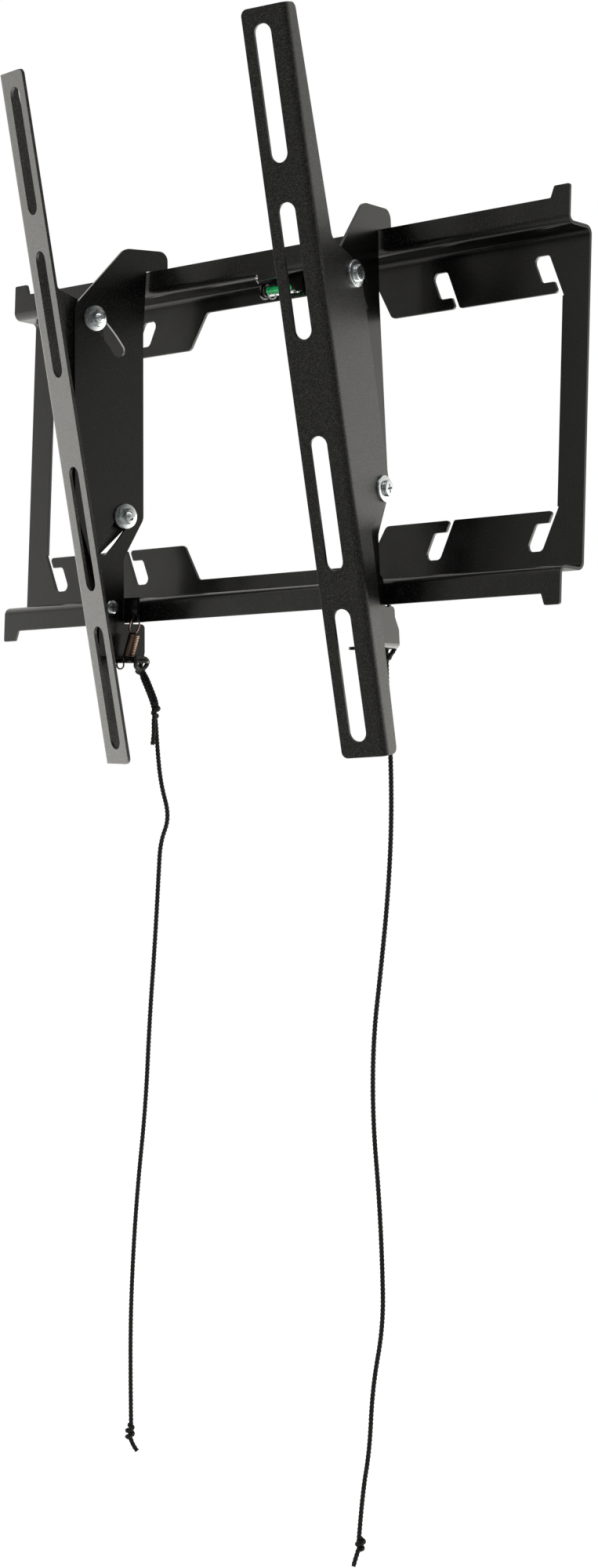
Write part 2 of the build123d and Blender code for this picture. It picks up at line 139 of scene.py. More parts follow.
def hookFrame(side):
    way = inward[side]
    spot = Matrix.Translation((pose["hookX"][side], pose["railDepth"], pose["railTop"]))
    return spot @ turn(-way * pose["splay"], "Z") @ turn(way * pose["lean"], "Y") @ turn(pose["rake"], "X")


def armFrame(side):
    axis = Matrix.Translation((-inward[side] * pose["plateInset"], pose["axisDepth"], pose["axisDrop"]))
    ahead = Matrix.Translation((0, pose["axisAhead"], 0))
    return hookFrame(side) @ axis @ turn(pose["tilt"], "X") @ ahead


# Cords: the routes come first, and every braided piece is laid along points
cord = dict(
    diameter=0.003, length={"left": 0.492, "right": 0.523}, step=0.0006,
    yarns=8, lay=0.0095, spread=0.00098, wave=0.00012, yarn=0.00042, core=0.00090,
    yarnFacets=1, coreFacets=2, crease=80,
    left=[
        (-0.1130, -0.0114, -0.1342), (-0.1136, -0.0114, -0.1421), (-0.1063, -0.0115, -0.1529),
        (-0.0982, -0.0117, -0.1665), (-0.0946, -0.0122, -0.1909), (-0.0900, -0.0127, -0.2131),
        (-0.0804, -0.0132, -0.2339), (-0.0878, -0.0136, -0.2495), (-0.0880, -0.0140, -0.2682),
        (-0.0886, -0.0148, -0.3113), (-0.0907, -0.0155, -0.3602), (-0.0914, -0.0159, -0.4139),
        (-0.0971, -0.0157, -0.4678), (-0.1003, -0.0150, -0.5216), (-0.1009, -0.0139, -0.5703),
        (-0.0987, -0.0128, -0.6196),
    ],
    right=[
        (0.0979, -0.0114, -0.1342), (0.0984, -0.0115, -0.1464), (0.1001, -0.0116, -0.1649),
        (0.1043, -0.0120, -0.1982), (0.1075, -0.0132, -0.2385), (0.1072, -0.0142, -0.2796),
        (0.1036, -0.0147, -0.3230), (0.0986, -0.0144, -0.3641), (0.0992, -0.0137, -0.4096),
        (0.1054, -0.0132, -0.4545), (0.1090, -0.0128, -0.4926), (0.1111, -0.0126, -0.5284),
        (0.1036, -0.0124, -0.5652), (0.1026, -0.0123, -0.6014), (0.0976, -0.0121, -0.6268),
        (0.0954, -0.0117, -0.6550),
    ],
)
curveDetail = dict(along=12, order=3, leastLeg=1e-9)


def newCurve(name, lines, kind, diameter, resolution):
    made = bpy.data.curves.new(name, "CURVE")
    made.dimensions = "3D"
    made.resolution_u = curveDetail["along"]
    made.bevel_depth = diameter / 2
    made.bevel_resolution = resolution
    made.use_fill_caps = True
    for points in lines:
        spline = made.splines.new(kind)
        spline.points.add(len(points) - 1)
        for knot, place in zip(spline.points, points):
            knot.co = (*place, 1)
        if kind == "NURBS":
            spline.order_u = curveDetail["order"]
            spline.use_endpoint_u = True
    piece = bpy.data.objects.new(name, made)
    bpy.context.scene.collection.objects.link(piece)
    return piece


def toMesh(piece):
    pick(piece)
    bpy.ops.object.convert(target="MESH")
    return bpy.context.active_object


def traced(route):
    guide = newCurve("guide", [route], "NURBS", 0, 0)
    line = bpy.data.meshes.new_from_object(guide)
    points = [vertex.co.copy() for vertex in line.vertices]
    bpy.data.meshes.remove(line)
    bpy.data.objects.remove(guide)
    return points


def evenly(points, step):
    lengths = [0.0]
    for here, after in zip(points, points[1:]):
        lengths.append(lengths[-1] + (after - here).length)
    count = max(2, round(lengths[-1] / step))
    spread, leg = [], 0
    for number in range(count + 1):
        along = lengths[-1] * number / count
        while leg < len(points) - 2 and lengths[leg + 1] < along:
            leg += 1
        legLength = max(lengths[leg + 1] - lengths[leg], curveDetail["leastLeg"])
        share = (along - lengths[leg]) / legLength
        spread.append(points[leg].lerp(points[leg + 1], share))
    return spread


def braided(name, route):
    line = evenly(traced(route), cord["step"])
    ahead = [(after - before).normalized() for before, after in zip(line, line[1:])]
    ahead.append(ahead[-1])
    across = ahead[0].orthogonal().normalized()
    yarns = [[] for number in range(cord["yarns"])]
    for number, place in enumerate(line):
        across = (across - ahead[number] * across.dot(ahead[number])).normalized()
        other = ahead[number].cross(across)
        phase = 2 * math.pi * number * cord["step"] / cord["lay"]
        for yarn, points in enumerate(yarns):
            hand = 1 if yarn % 2 else -1
            angle = hand * phase + 2 * math.pi * (yarn // 2) / (cord["yarns"] // 2)
            reach = cord["spread"] + hand * cord["wave"] * math.cos(cord["yarns"] / 2 * phase)
            points.append(place + (across * math.cos(angle) + other * math.sin(angle)) * reach)
    cover = toMesh(newCurve(name, yarns, "POLY", 2 * cord["yarn"], cord["yarnFacets"]))
    core = toMesh(newCurve(name + "Core", [line], "POLY", 2 * cord["core"], cord["coreFacets"]))
    piece = join(name, cover, core)
    smooth(piece, cord["crease"])
    return piece, line


cordPieces, cordLines = {}, {}
for side in sides:
    piece, cordLines[side] = braided(side + "Cord", cord[side])
    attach(piece, side + "_pull_cord")
    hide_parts(side + "_cord")
    cordPieces[side] = piece

# Knots: a wrap round the cord, its loose tail, and the loop that ties it to the latch tab
knot = dict(
    wrap=0.0019, lead=0.14, perTurn=10,
    left=dict(
        middle=dict(centre=(-0.0980, -0.0115, -0.1668), along=(0.0001, 0.0008, -0.0078), turns=1.5),
        end=dict(centre=(-0.0994, -0.0134, -0.6170), along=(0.0002, 0.0003, -0.0095), turns=2.5),
        middleTail=[
            (-0.0976, -0.0125, -0.1685), (-0.0966, -0.0143, -0.1725), (-0.0958, -0.0146, -0.1785),
            (-0.0957, -0.0147, -0.1835), (-0.0962, -0.0150, -0.1885),
        ],
        doubled=[
            (-0.1128, -0.0104, -0.1405), (-0.1102, -0.0094, -0.1440), (-0.1046, -0.0091, -0.1535),
            (-0.0990, -0.0096, -0.1620), (-0.0980, -0.0108, -0.1655),
        ],
        endTail=[(-0.0994, -0.0130, -0.6200), (-0.0988, -0.0120, -0.6245), (-0.0962, -0.0098, -0.6285)],
        tie=[
            (0.0040, -0.0094, -0.2524), (0.0100, -0.0158, -0.2508), (0.0178, -0.0214, -0.2494),
            (0.0198, -0.0220, -0.2468), (0.0172, -0.0208, -0.2444), (0.0100, -0.0140, -0.2443),
            (0.0036, -0.0062, -0.2443), (0.0012, -0.0024, -0.2464), (0.0024, -0.0046, -0.2494),
            (0.0038, -0.0090, -0.2526),
        ],
        tieKnot=dict(centre=(-0.1134, -0.0118, -0.1402), along=(0.0006, 0.0000, -0.0046), turns=1.4),
    ),
    right=dict(
        end=dict(centre=(0.0960, -0.0110, -0.6560), along=(-0.0008, -0.0004, -0.0070), turns=1.8),
        endTail=[(0.0956, -0.0113, -0.6580), (0.0940, -0.0124, -0.6640), (0.0930, -0.0130, -0.6690)],
        tie=[
            (0.0038, -0.0086, -0.2532), (0.0070, -0.0070, -0.2510), (0.0090, -0.0044, -0.2470),
            (0.0074, -0.0062, -0.2444), (0.0034, -0.0056, -0.2443), (0.0012, -0.0020, -0.2466),
            (0.0026, -0.0044, -0.2502), (0.0037, -0.0084, -0.2534),
        ],
        tieKnot=dict(centre=(0.0983, -0.0115, -0.1418), along=(0.0004, 0.0000, -0.0050), turns=1.2),
    ),
)


def wrapRoute(size):
    centre, along = Vector(size["centre"]), Vector(size["along"])
    out = along.orthogonal().normalized()
    other = along.normalized().cross(out)
    count = round(size["turns"] * knot["perTurn"])
    route = []
    for number in range(count + 1):
        share = number / count
        angle = 2 * math.pi * size["turns"] * share
        reach = knot["wrap"] * min(1, share / knot["lead"], (1 - share) / knot["lead"])
        ring = (out * math.cos(angle) + other * math.sin(angle)) * reach
        route.append(centre + along * (share - 0.5) + ring)
    return route


def tieRoute(side):
    seat, way = hookFrame(side), inward[side]
    return [seat @ Vector((way * across, back, up)) for across, back, up in knot[side]["tie"]]


knotPieces = {side: [] for side in sides}
for side in sides:
    shapes = knot[side]
    wraps = [name for name in ("middle", "end", "tieKnot") if name in shapes]
    strands = [name for name in ("middleTail", "endTail", "doubled") if name in shapes]
    routes = {name.capitalize() + "Knot": wrapRoute(shapes[name]) for name in wraps}
    routes.update({name.capitalize(): shapes[name] for name in strands})
    for name, route in routes.items():
        piece = braided(side + name, route)[0]
        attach(piece, side + "_pull_cord")
        knotPieces[side].append(piece)
    tie = braided(side + "Tie", tieRoute(side))[0]
    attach(tie, side + "_latch")
    knotPieces[side].append(tie)
print("cords braided and knotted")

# Turned and cut hardware
fine = dict(lathe=56, crown=6, ridge=32, bore=48, crease=35, weld=0.000001, seed=0.001)


def startVertex(name, place):
    bpy.ops.mesh.primitive_plane_add(size=fine["seed"])
    piece = bpy.context.active_object
    piece.name = name
    editMesh(piece)
    bpy.ops.mesh.merge(type="CENTER")
    bpy.ops.transform.translate(value=place)
    return piece


def drawProfile(name, profile):
    piece = startVertex(name, (profile[0][0], 0, profile[0][1]))
    for here, after in zip(profile, profile[1:]):
        step = (after[0] - here[0], 0, after[1] - here[1])
        bpy.ops.mesh.extrude_vertices_move(TRANSFORM_OT_translate={"value": step})
    return piece


def mended(piece):
    bpy.ops.mesh.select_all(action="SELECT")
    bpy.ops.mesh.remove_doubles(threshold=fine["weld"])
    bpy.ops.mesh.normals_make_consistent(inside=False)
    objectMode()
    return piece


def lathe(name, profile):
    piece = drawProfile(name, profile)
    bpy.ops.mesh.select_all(action="SELECT")
    bpy.ops.mesh.spin(steps=fine["lathe"], angle=2 * math.pi, center=(0, 0, 0), axis=(0, 0, 1))
    return mended(piece)


def choose(piece, wanted):
    bpy.ops.mesh.select_all(action="DESELECT")
    objectMode()
    for vertex in piece.data.vertices:
        vertex.select = wanted(vertex.co)
    bpy.ops.object.mode_set(mode="EDIT")


def carve(piece, cutter, operation):
    modify(piece, "BOOLEAN", operation=operation, object=cutter, solver="EXACT")
    bpy.data.objects.remove(cutter)


def crossArm(size, quarter):
    bpy.ops.mesh.primitive_cube_add(size=1)
    cutter = bpy.context.active_object
    editMesh(cutter)
    span = (size["slot"], size["slotWidth"], 2 * size["slotDepth"])
    bpy.ops.transform.resize(value=span, center_override=(0, 0, 0))
    choose(cutter, lambda spot: spot.z < 0)
    bpy.ops.transform.resize(value=(size["slotFoot"], size["slotFoot"], 1), center_override=(0, 0, 0))
    objectMode()
    settle(cutter, Matrix.Translation((0, 0, size["height"])) @ turn(quarter, "Z"))
    return cutter


def panScrew(name, size):
    radius, edge, shank, core = size["head"] / 2, size["edge"], size["shank"] / 2, size["core"] / 2
    bends = [math.pi / 2 * step / fine["crown"] for step in range(fine["crown"] + 1)]
    crown = [
        (radius + edge * (math.sin(bend) - 1), size["height"] + edge * (math.cos(bend) - 1)) for bend in bends
    ]
    stem = [
        (radius, 0), (shank, 0), (shank, -size["plain"]), (core, -size["plain"]),
        (core, size["tip"] - size["length"]), (core - size["tip"], -size["length"]), (0, -size["length"]),
    ]
    screw = lathe(name, [(0, size["height"])] + crown + stem)
    for quarter in (0, 90):
        carve(screw, crossArm(size, quarter), "DIFFERENCE")
    return screw


# A dark cross filling each screw's cross recess, as painted shade
def recessShadeCross(size):
    cross = crossArm(size, 0)
    carve(cross, crossArm(size, 90), "UNION")
    settle(cross, Matrix.Translation((0, 0, -size["slotDepth"] - size["sunk"])))
    return cross


def threadRidge(size):
    core, shank, pitch = size["core"] / 2, size["shank"] / 2, size["pitch"]
    foot = size["tip"] - size["length"]
    ridge = drawProfile("ridge", [(core, foot), (shank, foot + pitch / 2), (core, foot + pitch)])
    objectMode()
    turns = int((size["length"] - size["plain"] - size["tip"]) / pitch)
    modify(
        ridge, "SCREW", screw_offset=pitch, iterations=turns, steps=fine["ridge"], render_steps=fine["ridge"],
        axis="Z", use_merge_vertices=True, merge_threshold=fine["weld"],
    )
    editMesh(ridge)
    return mended(ridge)


def hexNut(size):
    radius, height, face = size["across"] / math.sqrt(3), size["height"], size["face"] / 2
    bpy.ops.mesh.primitive_cylinder_add(vertices=6, radius=radius, depth=height, location=(0, 0, height / 2))
    made = bpy.context.active_object
    settle(made, made.matrix_world)
    corner = size["clear"] * radius
    fall = (corner - face) * math.tan(math.radians(size["slope"]))
    dome = lathe("nutDome", [
        (0, height), (face, height), (corner, height - fall), (corner, fall), (face, 0), (0, 0),
    ])
    carve(made, dome, "INTERSECT")
    bpy.ops.mesh.primitive_cylinder_add(
        vertices=fine["bore"], radius=size["bore"] / 2, depth=size["drill"] * height,
    )
    carve(made, bpy.context.active_object, "DIFFERENCE")
    return made


def roundWasher(name, size):
    bore, outer, thick, edge = size["bore"] / 2, size["outer"] / 2, size["thick"], size["edge"]
    ease = size["ease"] * edge
    return lathe(name, [
        (bore, -thick), (bore, 0), (outer - edge, 0), (outer - ease, -ease), (outer, -edge), (outer, -thick),
        (bore, -thick),
    ])


bolt = dict(
    head=0.0098, height=0.0026, edge=0.0010, shank=0.0057, core=0.0047, length=0.0181, plain=0.0100,
    tip=0.0008, slot=0.0064, slotWidth=0.0014, slotDepth=0.0018, slotFoot=0.70, sunk=0.0005, pitch=0.0010,
    back=0.0380, rise=0.0625, seat=-0.0016, innerSeat=0.0083,
)
pivot = dict(
    head=0.0088, height=0.0028, edge=0.0014, shank=0.0050, core=0.0049, length=0.0040, plain=0.0038,
    tip=0.0001, slot=0.0056, slotWidth=0.0015, slotDepth=0.0020, slotFoot=0.60, sunk=0.0006,
    back=-0.0293, up=-0.2124, seat=0.0010,
)
nut = dict(
    across=0.0098, height=0.0048, bore=0.0056, face=0.0088, slope=30, clear=1.02, drill=4,
    upperTurn=0, lowerTurn=30,
)
washer = dict(outer=0.0160, bore=0.0064, thick=0.0016, edge=0.0005, ease=0.3)

boltMaster = join("boltMaster", panScrew("boltMaster", bolt), threadRidge(bolt))
pivotMaster = panScrew("pivotMaster", pivot)
# Dark crosses of painted shade for the bolts' and pivots' cross recess
boltRecessShade, pivotRecessShade = recessShadeCross(bolt), recessShadeCross(pivot)
nutMaster = hexNut(nut)
washerMaster = roundWasher("washerMaster", washer)
masters = (boltMaster, boltRecessShade, pivotMaster, pivotRecessShade, nutMaster, washerMaster)
for master in masters:
    smooth(master, fine["crease"])


def placed(master, name, seat):
    copy = duplicate(master, name)
    settle(copy, seat)
    return copy


zincPieces, recessShadePieces = [], []
for side in sides:
    way = inward[side]
    arm, hook = armFrame(side), hookFrame(side)
    sideways, up = arm.to_3x3().col[0] * way, arm.to_3x3().col[2]
    bolts, nuts, washers, crossShades = [], [], [], []
    for rise, spin in ((bolt["rise"], nut["upperTurn"]), (-bolt["rise"], nut["lowerTurn"])):
        outer = standing(arm @ Vector((way * bolt["seat"], bolt["back"], rise)), -sideways, up)
        inner = standing(arm @ Vector((way * bolt["innerSeat"], bolt["back"], rise)), sideways, up)
        bolts.append(placed(boltMaster, side + "Bolts", outer))
        crossShades.append(placed(boltRecessShade, side + "BoltRecessShades", outer))
        nuts.append(placed(nutMaster, side + "Nuts", inner @ turn(spin, "Z")))
        washers.append(placed(washerMaster, side + "Washers", outer))
        washers.append(placed(washerMaster, side + "Washers", inner))
    pivotSeat = hook @ Vector((way * pivot["seat"], pivot["back"], pivot["up"]))
    pivotWay = hook.to_3x3().col[0] * way
    pivotStand = standing(pivotSeat, pivotWay, hook.to_3x3().col[2])
    pins = [placed(pivotMaster, side + "Pivot", pivotStand)]
    recessShadeGroups = placed(pivotRecessShade, side + "PivotRecessShade", pivotStand), join(side + "BoltRecessShades", *crossShades)
    for piece, body in zip(recessShadeGroups, ("_hook", "_tilt_arm")):
        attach(piece, side + body)
        recessShadePieces.append(piece)
    for group, node, body in (
        (bolts, "_tilt_bolts", "_tilt_arm"), (nuts, "_tilt_nuts", "_tilt_arm"),
        (washers, "_tilt_washers", "_tilt_arm"), (pins, "_latch_pivot", "_hook"),
    ):
        piece = join(group[0].name, *group)
        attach(piece, side + body)
        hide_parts(side + node)
        zincPieces.append(piece)
for master in masters:
    bpy.data.objects.remove(master)
print("hardware turned")

# Latch springs: an oval loop through the ear, close coils and a crook under the tab
spring = dict(
    wire=0.0011, coil=0.00305, turns=13, perTurn=20, ear=(0.0124, -0.0190, -0.2186),
    top=(0.01225, -0.01903, -0.2296), bottom=(0.01007, -0.02211, -0.2435), tab=(0.0084, -0.0245, -0.2468),
    across=(0.72, 0.70, 0), crook=0.0022, crookDrop=0.0022, crossing=0.0016,
    loopBends=range(320, 20, -15), crookBends=range(0, 181, 15), facets=2, crease=80,
)


def springRoute():
    keys = ("ear", "top", "bottom", "tab", "across")
    ear, top, bottom, tab, across = (Vector(spring[key]) for key in keys)
    down = (bottom - top).normalized()
    out = (across - down * across.dot(down)).normalized()
    third = down.cross(out)
    middle, reach = (ear + top) / 2, (top - ear).length / 2
    route = []
    for degrees in spring["loopBends"]:
        bend = math.radians(degrees)
        route.append(middle + down * reach * math.cos(bend) + out * spring["coil"] * math.sin(bend))
    count = spring["turns"] * spring["perTurn"]
    for number in range(count + 1):
        bend = math.pi + 2 * math.pi * number / spring["perTurn"]
        ring = (out * math.cos(bend) + third * math.sin(bend)) * spring["coil"]
        route.append(top + (bottom - top) * number / count + ring)
    plumb = Vector((0, 0, 1))
    route += [tab + plumb * spring["crossing"], tab]
    sideways = across.normalized()
    heart = tab - plumb * spring["crookDrop"] - sideways * spring["crook"]
    for degrees in spring["crookBends"]:
        bend = math.radians(degrees)
        route.append(heart + (sideways * math.cos(bend) - plumb * math.sin(bend)) * spring["crook"])
    route.append(route[-1] + plumb * spring["crookDrop"])
    return route


springPieces = {}
for side in sides:
    seats = hookFrame(side) @ Matrix.Diagonal((inward[side], 1, 1, 1))
    route = [seats @ spot for spot in springRoute()]
    piece = toMesh(newCurve(side + "Spring", [route], "POLY", spring["wire"], spring["facets"]))
    smooth(piece, spring["crease"])
    side + "_hook"
    side + "_latch"
    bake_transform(piece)
    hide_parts(side + "_latch_spring")
    springPieces[side] = piece
print("springs wound")


# Shader maths on sockets
class Shade:
    def __init__(self, tree, socket):
        self.tree = tree
        self.socket = socket

    def node(self, kind, settings, inputs, output=0):
        made = self.tree.nodes.new(kind)
        for key, value in settings.items():
            setattr(made, key, value)
        for key, value in inputs.items():
            self.feed(made.inputs[key], value)
        return Shade(self.tree, made.outputs[output])

    def feed(self, target, value):
        if isinstance(value, Shade):
            self.tree.links.new(value.socket, target)
        else:
            target.default_value = value

    def maths(self, operation, *values, clamp=False):
        settings = dict(operation=operation, use_clamp=clamp)
        return self.node("ShaderNodeMath", settings, dict(enumerate(values)))

    def __add__(self, other):
        return self.maths("ADD", self, other)

    __radd__ = __add__

    def __mul__(self, other):
        return self.maths("MULTIPLY", self, other)

    __rmul__ = __mul__

    def __sub__(self, other):
        return self.maths("SUBTRACT", self, other)

    def __rsub__(self, other):
        return self.maths("SUBTRACT", other, self)

    def __truediv__(self, other):
        return self.maths("DIVIDE", self, other)

    def __rtruediv__(self, other):
        return self.maths("DIVIDE", other, self)

    def __neg__(self):
        return self * -1

    def magnitude(self):
        return self.maths("ABSOLUTE", self)

    def root(self):
        return self.maths("SQRT", self)

    def larger(self, other):
        return self.maths("MAXIMUM", self, other)

    def above(self, edge, width):
        return self.maths("DIVIDE", self - edge, width, clamp=True)

    def mix(self, first, second):
        return self.node(
            "ShaderNodeMix", dict(data_type="RGBA"), {"Factor": self, "A": first, "B": second}, "Result",
        )

    def noise(self, scale, detail=2.0):
        return self.node("ShaderNodeTexNoise", {}, {"Vector": self, "Scale": scale, "Detail": detail})

    def axes(self):
        return [self.node("ShaderNodeSeparateXYZ", {}, {0: self}, axis) for axis in "XYZ"]

    def bump(self, strength, distance):
        return self.node("ShaderNodeBump", {}, {"Height": self, "Strength": strength, "Distance": distance})


def newMaterial(name, constants):
    material = bpy.data.materials.new(name)
    material.use_nodes = True
    surface = material.node_tree.nodes["Principled BSDF"]
    for key, value in constants.items():
        surface.inputs[key].default_value = value
    place = material.node_tree.nodes.new("ShaderNodeTexCoord")
    return material, surface.inputs, Shade(material.node_tree, place.outputs["Object"])


def grey(value):
    return (value, value, value, 1)


def mottled(place, size):
    return place.noise(size["patch"]) * size["spread"] + size["rough"]


# Smooth satin lacquer of the wall plate, hook plates and levers
satin = dict(
    base=0.003, speck=0.022, grain=1500, speckFrom=0.55, speckBlur=0.12,
    rough=0.21, spread=0.08, patch=70, bump=0.14, bumpDepth=0.0001,
)
# Bare steel where the lacquer has chipped off the left edge of the level's window; its near-white also paints
# the rim highlight below
chip = dict(
    start=(-0.0212, -0.0069), end=(-0.0105, -0.0205), endBlur=0.05, reach=0.0007, reachBlur=0.0003,
    low=0.0946, lowBlur=0.0002, high=0.0975, highBlur=0.0010,
    ragged=520, raggedFrom=0.46, raggedBlur=0.08, chipsAndHighlight=0.90,
)
# Painted highlight: the rim at the window's lower left corner, drawn near-white as if its cut edge caught the
# light
litRim = dict(
    centre=(-0.0200, 0.0920), radius=0.0053, reach=0.0005, reachBlur=0.0002,
    right=-0.0165, top=0.0895, cornerBlur=0.001, depth=-0.0024, depthBlur=0.0002,
)


def chippedEdge(place):
    x, y, z = place.axes()
    run = Vector(chip["end"]) - Vector(chip["start"])
    fromX, fromY = x - chip["start"][0], y - chip["start"][1]
    along = (fromX * run.x + fromY * run.y) / run.length_squared
    aside = ((fromX * run.y - fromY * run.x) / run.length).magnitude()
    onLine = along.above(0.0, chip["endBlur"]) * (1 - along.above(1.0, chip["endBlur"]))
    onLine = onLine * (1 - aside.above(chip["reach"], chip["reachBlur"]))
    onLine = onLine * z.above(chip["low"], chip["lowBlur"]) * (1 - z.above(chip["high"], chip["highBlur"]))
    return onLine * place.noise(chip["ragged"]).above(chip["raggedFrom"], chip["raggedBlur"])


def paintedRimHighlight(place):
    x, y, z = place.axes()
    outX, outZ = x - litRim["centre"][0], z - litRim["centre"][1]
    ring = ((outX * outX + outZ * outZ).root() - litRim["radius"]).magnitude()
    onRing = (1 - ring.above(litRim["reach"], litRim["reachBlur"])) * y.above(litRim["depth"], litRim["depthBlur"])
    onRing = onRing * (litRim["right"] - x).above(0.0, litRim["cornerBlur"])
    return onRing * (litRim["top"] - z).above(0.0, litRim["cornerBlur"])


satinBlack, surface, place = newMaterial("satinBlack", {})
specks = place.noise(satin["grain"]).above(satin["speckFrom"], satin["speckBlur"])
lacquer = specks.mix(grey(satin["base"]), grey(satin["speck"]))
# Chipped bare steel and the rim's painted highlight share one near-white
chipsAndHighlight = chippedEdge(place).larger(paintedRimHighlight(place))
place.feed(surface["Base Color"], chipsAndHighlight.mix(lacquer, grey(chip["chipsAndHighlight"])))
place.feed(surface["Roughness"], mottled(place, satin))
place.feed(surface["Normal"], place.noise(satin["grain"]).bump(satin["bump"], satin["bumpDepth"]))

# Sparkling fine texture of the arms
texture = dict(
    base=0.002, speck=0.070, fleck=2000, fleckDetail=1.0, fleckFrom=0.48, fleckBlur=0.16,
    rough=0.20, spread=0.25, patch=2200, grain=2200, grainDetail=3.0, bump=0.65, bumpDepth=0.0002,
)
texturedBlack, surface, place = newMaterial("texturedBlack", {})
flecks = place.noise(texture["fleck"], texture["fleckDetail"])
flecks = flecks.above(texture["fleckFrom"], texture["fleckBlur"])
grain = place.noise(texture["grain"], texture["grainDetail"])
place.feed(surface["Base Color"], flecks.mix(grey(texture["base"]), grey(texture["speck"])))
place.feed(surface["Roughness"], mottled(place, texture))
place.feed(surface["Normal"], grain.bump(texture["bump"], texture["bumpDepth"]))

# Bright plated hardware
plated = dict(colour=(0.68, 0.72, 0.74, 1), rough=0.20, spread=0.16, patch=500)
zinc, surface, place = newMaterial("zinc", {"Base Color": plated["colour"], "Metallic": 1.0})
place.feed(surface["Roughness"], mottled(place, plated))

# Painted shade: a dark, dull copy of the plating on the crosses sunk into the screws' cross slots
recessShadeFinish = dict(colour=(0.10, 0.11, 0.13, 1), rough=0.45, spread=0.16, patch=500)
zincPaintedShade, surface, place = newMaterial("zincPaintedShade", {"Base Color": recessShadeFinish["colour"], "Metallic": 1.0})
place.feed(surface["Roughness"], mottled(place, recessShadeFinish))

# Coppery wire of the springs
copper = dict(colour=(0.20, 0.13, 0.10, 1), rough=0.15, spread=0.15, patch=700)
copperWire, surface, place = newMaterial("copperWire", {"Base Color": copper["colour"], "Metallic": 1.0})
place.feed(surface["Roughness"], mottled(place, copper))

# Dull plastic of the bushes and the level's holder
plastic = dict(base=0.002, shine=0.12, rough=0.50, spread=0.20, patch=900)
blackPlastic, surface, place = newMaterial(
    "blackPlastic", {"Base Color": grey(plastic["base"]), "Specular IOR Level": plastic["shine"]},
)
place.feed(surface["Roughness"], mottled(place, plastic))

# The vial, clear, and a frosted white for the rod under it, a painted highlight, and for the ring by its left
# part
acrylic = dict(index=1.49)
clearAcrylic = newMaterial("clearAcrylic", {
    "Base Color": grey(1.0), "Transmission Weight": 1.0, "IOR": acrylic["index"], "Roughness": 0.03,
})[0]
highlightAndRingWhite = newMaterial("highlightAndRingWhite", {
    "Base Color": grey(0.95), "Transmission Weight": 0.15, "IOR": acrylic["index"], "Roughness": 0.25,
})[0]

# Emerald fluid, clouded with dark spots towards its left end
fluid = dict(
    bright=(0.0, 0.78, 0.20, 1), dark=(0.0, 0.10, 0.03, 1), cloud=650, cloudFrom=0.50, cloudBlur=0.10,
    start=0.0035, spread=0.004,
)
greenFluid, surface, place = newMaterial("greenFluid", {"IOR": 1.4, "Roughness": 0.15})
leftward = (-place.axes()[0]).above(fluid["start"], fluid["spread"])
spots = place.noise(fluid["cloud"]).above(fluid["cloudFrom"], fluid["cloudBlur"]) * leftward
place.feed(surface["Base Color"], spots.mix(fluid["bright"], fluid["dark"]))

# Matt fibres of the cords
fibre = dict(base=0.016, rough=0.65, spread=0.20, patch=2500, fuzz=2200, bump=0.6, bumpDepth=0.0003)
blackCord, surface, place = newMaterial("blackCord", {"Base Color": grey(fibre["base"])})
place.feed(surface["Roughness"], mottled(place, fibre))
place.feed(surface["Normal"], place.noise(fibre["fuzz"]).bump(fibre["bump"], fibre["bumpDepth"]))
print("materials made")

# Sheet metal: a merged copy of each CAD node with its edges broken
sheet = dict(edge=0.00035, edgeSteps=2, sharp=45, weld=0.000002, flat=0.5, crease=40, weight=80)
armFoot = dict(reach=0.012, depth=0.006, move=0.0016)


def dressed(node, body, shape=None):
    piece = duplicate(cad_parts[node], node + "Skin")
    piece.parent = None
    piece.matrix_world = Matrix()
    editMesh(piece)
    bpy.ops.mesh.remove_doubles(threshold=sheet["weld"])
    bpy.ops.mesh.dissolve_limited(angle_limit=math.radians(sheet["flat"]))
    if shape:
        shape(piece)
    objectMode()
    modify(
        piece, "BEVEL", width=sheet["edge"], segments=sheet["edgeSteps"], limit_method="ANGLE",
        angle_limit=math.radians(sheet["sharp"]), use_clamp_overlap=True,
    )
    smooth(piece, sheet["crease"])
    modify(piece, "WEIGHTED_NORMAL", keep_sharp=True, weight=sheet["weight"])
    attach(piece, body)
    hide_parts(node)
    return piece


def deepened(side):
    seat = armFrame(side)
    local = seat.inverted()

    def shape(piece):
        foot = min((local @ vertex.co).z for vertex in piece.data.vertices)

        def atFoot(spot):
            inside = local @ spot
            return inside.z < foot + armFoot["reach"] and inside.y > armFoot["depth"]

        choose(piece, atFoot)
        bpy.ops.transform.translate(value=seat.to_3x3().col[1] * armFoot["move"])

    return shape


